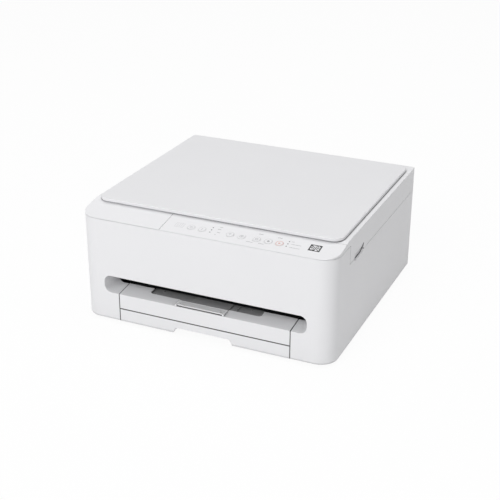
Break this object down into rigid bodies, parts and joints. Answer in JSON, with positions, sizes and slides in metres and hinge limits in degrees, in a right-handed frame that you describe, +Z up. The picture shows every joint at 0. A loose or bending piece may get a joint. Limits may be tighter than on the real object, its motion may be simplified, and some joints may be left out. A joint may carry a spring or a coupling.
{
  "type": "multifunction printer",
  "caption": "White desktop inkjet printer with a flatbed scanner under a thin hinged cover, a sloping key panel, a wide paper slot and a pull-out cassette.",
  "frame": {"origin": "middle of the footprint, on the surface that the feet stand on", "axes": "+X to the right seen from the front, +Y to the back, +Z up; the paper slot faces -Y"},
  "size_m": [0.376, 0.3544, 0.1694],
  "materials": {
    "casing": "fine matt white",
    "scanner_shell": "fine matt white",
    "cover": "fine grained matt white",
    "panel": "smooth matt white",
    "key": "smooth matt white with a ring",
    "stop_key": "smooth matt white with a red ring",
    "tray": "matt light grey",
    "dark_plastic": "matt dark grey",
    "black_plastic": "matt black",
    "inner_grey": "matt grey",
    "steel": "plain sheet steel",
    "motor": "zinc plated can",
    "gear_white": "waxy natural acetal",
    "rubber": "matt",
    "belt": "matt",
    "glass": "clear polished",
    "pad": "matt white sheet on foam",
    "board": "green lacquer",
    "lamp": "clear light pipe",
    "cartridge_black": "matt black",
    "cartridge_colour": "matt dark grey"
  },
  "bodies": {
    "printer_base": {"main_casing": "casing", "bottom_case": "inner_grey", "case_screws": "steel", "rubber_feet": "rubber", "deck_cover": "inner_grey", "bay_frame": "black_plastic", "side_frame_left": "steel", "side_frame_right": "steel", "platen": "black_plastic", "carriage_rail": "steel", "drive_belt": "belt", "carriage_motor": "motor", "feed_motor": "motor", "maintenance_station": "black_plastic", "main_board": "board", "power_supply": "black_plastic", "power_inlet": "black_plastic", "usb_port": "steel"},
    "rear_flap": {"rear_cover": "casing"},
    "cassette": {"paper_cassette": "tray"},
    "guide_left": {"width_guide_left": "inner_grey"},
    "guide_right": {"width_guide_right": "inner_grey"},
    "guide_gear": {"guide_pinion": "gear_white"},
    "end_guide": {"length_guide": "inner_grey"},
    "tray": {"output_tray": "tray", "tray_bed": "dark_plastic"},
    "extension": {"tray_extension": "dark_plastic"},
    "stopper": {"paper_stopper": "tray"},
    "carriage_unit": {"carriage": "black_plastic", "cartridge_black": "cartridge_black", "cartridge_colour": "cartridge_colour"},
    "lever_left": {"lock_lever_left": "inner_grey"},
    "lever_right": {"lock_lever_right": "inner_grey"},
    "belt_drive": {"drive_pulley": "gear_white"},
    "belt_idler": {"idler_pulley": "gear_white"},
    "feed": {"feed_roller": "rubber", "feed_gear": "gear_white"},
    "idler": {"idler_gear": "gear_white"},
    "output": {"output_roller": "rubber", "output_gear": "gear_white"},
    "pinion": {"motor_pinion": "steel"},
    "pick_arm": {"pickup_arm": "black_plastic"},
    "pick_wheel": {"pickup_roller": "rubber"},
    "scanner_unit": {"scanner_frame": "scanner_shell", "scanner_base": "inner_grey", "scan_rail": "steel", "platen_glass": "glass", "operation_panel": "panel", "panel_board": "board", "status_lamps": "lamp"},
    "scan_head": {"scan_bar": "black_plastic"},
    "cover": {"document_cover": "cover", "cover_pad": "pad"},
    "key_body_1": {"key_1": "key"},
    "key_body_2": {"key_2": "key"},
    "key_body_3": {"key_3": "key"},
    "key_body_4": {"key_4": "key"},
    "key_body_5": {"key_5": "key"},
    "key_body_6": {"key_6": "key"},
    "key_body_7": {"key_7": "stop_key"}
  },
  "joints": [
    {"name": "unit_hinge", "type": "hinge", "parent": "printer_base", "child": "scanner_unit", "pos_m": [0, 0.17075, 0.1354], "axis": [-1, 0, 0], "range_deg": [0, 45]},
    {"name": "cover_hinge", "type": "hinge", "parent": "scanner_unit", "child": "cover", "pos_m": [0, 0.169, 0.1615], "axis": [-1, 0, 0], "range_deg": [0, 85]},
    {"name": "rear_hinge", "type": "hinge", "parent": "printer_base", "child": "rear_flap", "pos_m": [0, 0.17425, 0.0393], "axis": [-1, 0, 0], "range_deg": [0, 70]},
    {"name": "cassette_slide", "type": "slide", "parent": "printer_base", "child": "cassette", "axis": [0, -1, 0], "range_m": [0, 0.15]},
    {"name": "guide_slide", "type": "slide", "parent": "cassette", "child": "guide_left", "axis": [1, 0, 0], "range_m": [0, 0.054]},
    {"name": "guide_right_slide", "type": "slide", "parent": "cassette", "child": "guide_right", "axis": [-1, 0, 0], "range_m": [0, 0.054]},
    {"name": "guide_gear_spin", "type": "hinge", "parent": "cassette", "child": "guide_gear", "pos_m": [0, 0, 0.0097], "axis": [0, 0, 1], "range_deg": [-530, 20]},
    {"name": "end_guide_slide", "type": "slide", "parent": "cassette", "child": "end_guide", "axis": [0, 1, 0], "range_m": [0, 0.087]},
    {"name": "tray_slide", "type": "slide", "parent": "printer_base", "child": "tray", "axis": [0, -1, 0], "range_m": [0, 0.1]},
    {"name": "extension_slide", "type": "slide", "parent": "tray", "child": "extension", "axis": [0, -1, 0], "range_m": [0, 0.07]},
    {"name": "stopper_hinge", "type": "hinge", "parent": "extension", "child": "stopper", "pos_m": [-0.0045, -0.17465, 0.04675], "axis": [1, 0, 0], "range_deg": [0, 100]},
    {"name": "carriage_slide", "type": "slide", "parent": "printer_base", "child": "carriage_unit", "axis": [-1, 0, 0], "range_m": [0, 0.215]},
    {"name": "lever_left_hinge", "type": "hinge", "parent": "carriage_unit", "child": "lever_left", "pos_m": [0.09, -0.012, 0.1012], "axis": [-1, 0, 0], "range_deg": [0, 30]},
    {"name": "lever_right_hinge", "type": "hinge", "parent": "carriage_unit", "child": "lever_right", "pos_m": [0.13, -0.012, 0.1012], "axis": [-1, 0, 0], "range_deg": [0, 30]},
    {"name": "belt_drive_spin", "type": "hinge", "parent": "printer_base", "child": "belt_drive", "pos_m": [-0.147, 0.0365, 0.0955], "axis": [0, 1, 0], "range_deg": [-2000, 20]},
    {"name": "belt_idler_spin", "type": "hinge", "parent": "printer_base", "child": "belt_idler", "pos_m": [0.147, 0.0365, 0.0955], "axis": [0, 1, 0], "range_deg": [-2000, 20]},
    {"name": "feed_spin", "type": "hinge", "parent": "printer_base", "child": "feed", "pos_m": [0, 0.002, 0.063], "axis": [1, 0, 0], "continuous": true},
    {"name": "idler_spin", "type": "hinge", "parent": "printer_base", "child": "idler", "pos_m": [-0.16, -0.0433, 0.063], "axis": [1, 0, 0], "continuous": true},
    {"name": "output_spin", "type": "hinge", "parent": "printer_base", "child": "output", "pos_m": [0, -0.0826, 0.063], "axis": [1, 0, 0], "continuous": true},
    {"name": "pinion_spin", "type": "hinge", "parent": "printer_base", "child": "pinion", "pos_m": [-0.16, 0.01415, 0.04196], "axis": [1, 0, 0], "continuous": true},
    {"name": "arm_hinge", "type": "hinge", "parent": "printer_base", "child": "pick_arm", "pos_m": [0, 0.095, 0.062], "axis": [1, 0, 0], "range_deg": [0, 14]},
    {"name": "pick_spin", "type": "hinge", "parent": "pick_arm", "child": "pick_wheel", "pos_m": [0, 0.04, 0.0345], "axis": [1, 0, 0], "continuous": true},
    {"name": "scan_slide", "type": "slide", "parent": "scanner_unit", "child": "scan_head", "axis": [1, 0, 0], "range_m": [0, 0.3]},
    {"name": "key_1_press", "type": "slide", "parent": "scanner_unit", "child": "key_body_1", "axis": [0, 0.1693, -0.9856], "range_m": [0, 0.0005], "stiffness_N_per_m": 600, "springref_m": -0.0004},
    {"name": "key_2_press", "type": "slide", "parent": "scanner_unit", "child": "key_body_2", "axis": [0, 0.1693, -0.9856], "range_m": [0, 0.0005], "stiffness_N_per_m": 600, "springref_m": -0.0004},
    {"name": "key_3_press", "type": "slide", "parent": "scanner_unit", "child": "key_body_3", "axis": [0, 0.1693, -0.9856], "range_m": [0, 0.0005], "stiffness_N_per_m": 600, "springref_m": -0.0004},
    {"name": "key_4_press", "type": "slide", "parent": "scanner_unit", "child": "key_body_4", "axis": [0, 0.1693, -0.9856], "range_m": [0, 0.0005], "stiffness_N_per_m": 600, "springref_m": -0.0004},
    {"name": "key_5_press", "type": "slide", "parent": "scanner_unit", "child": "key_body_5", "axis": [0, 0.1693, -0.9856], "range_m": [0, 0.0005], "stiffness_N_per_m": 600, "springref_m": -0.0004},
    {"name": "key_6_press", "type": "slide", "parent": "scanner_unit", "child": "key_body_6", "axis": [0, 0.1693, -0.9856], "range_m": [0, 0.0005], "stiffness_N_per_m": 600, "springref_m": -0.0004},
    {"name": "key_7_press", "type": "slide", "parent": "scanner_unit", "child": "key_body_7", "axis": [0, 0.1693, -0.9856], "range_m": [0, 0.0005], "stiffness_N_per_m": 600, "springref_m": -0.0004}
  ],
  "couplings": [
    {"joint": "guide_right_slide", "follows": "guide_slide", "ratio": 1},
    {"joint": "guide_gear_spin", "follows": "guide_slide", "rad_per_m": -166.67},
    {"joint": "belt_drive_spin", "follows": "carriage_slide", "rad_per_m": -161.29},
    {"joint": "belt_idler_spin", "follows": "carriage_slide", "rad_per_m": -161.29},
    {"joint": "idler_spin", "follows": "feed_spin", "ratio": -0.66667},
    {"joint": "output_spin", "follows": "feed_spin", "ratio": 1.5},
    {"joint": "pinion_spin", "follows": "feed_spin", "ratio": -3},
    {"joint": "pick_spin", "follows": "feed_spin", "ratio": 0.63636}
  ]
}
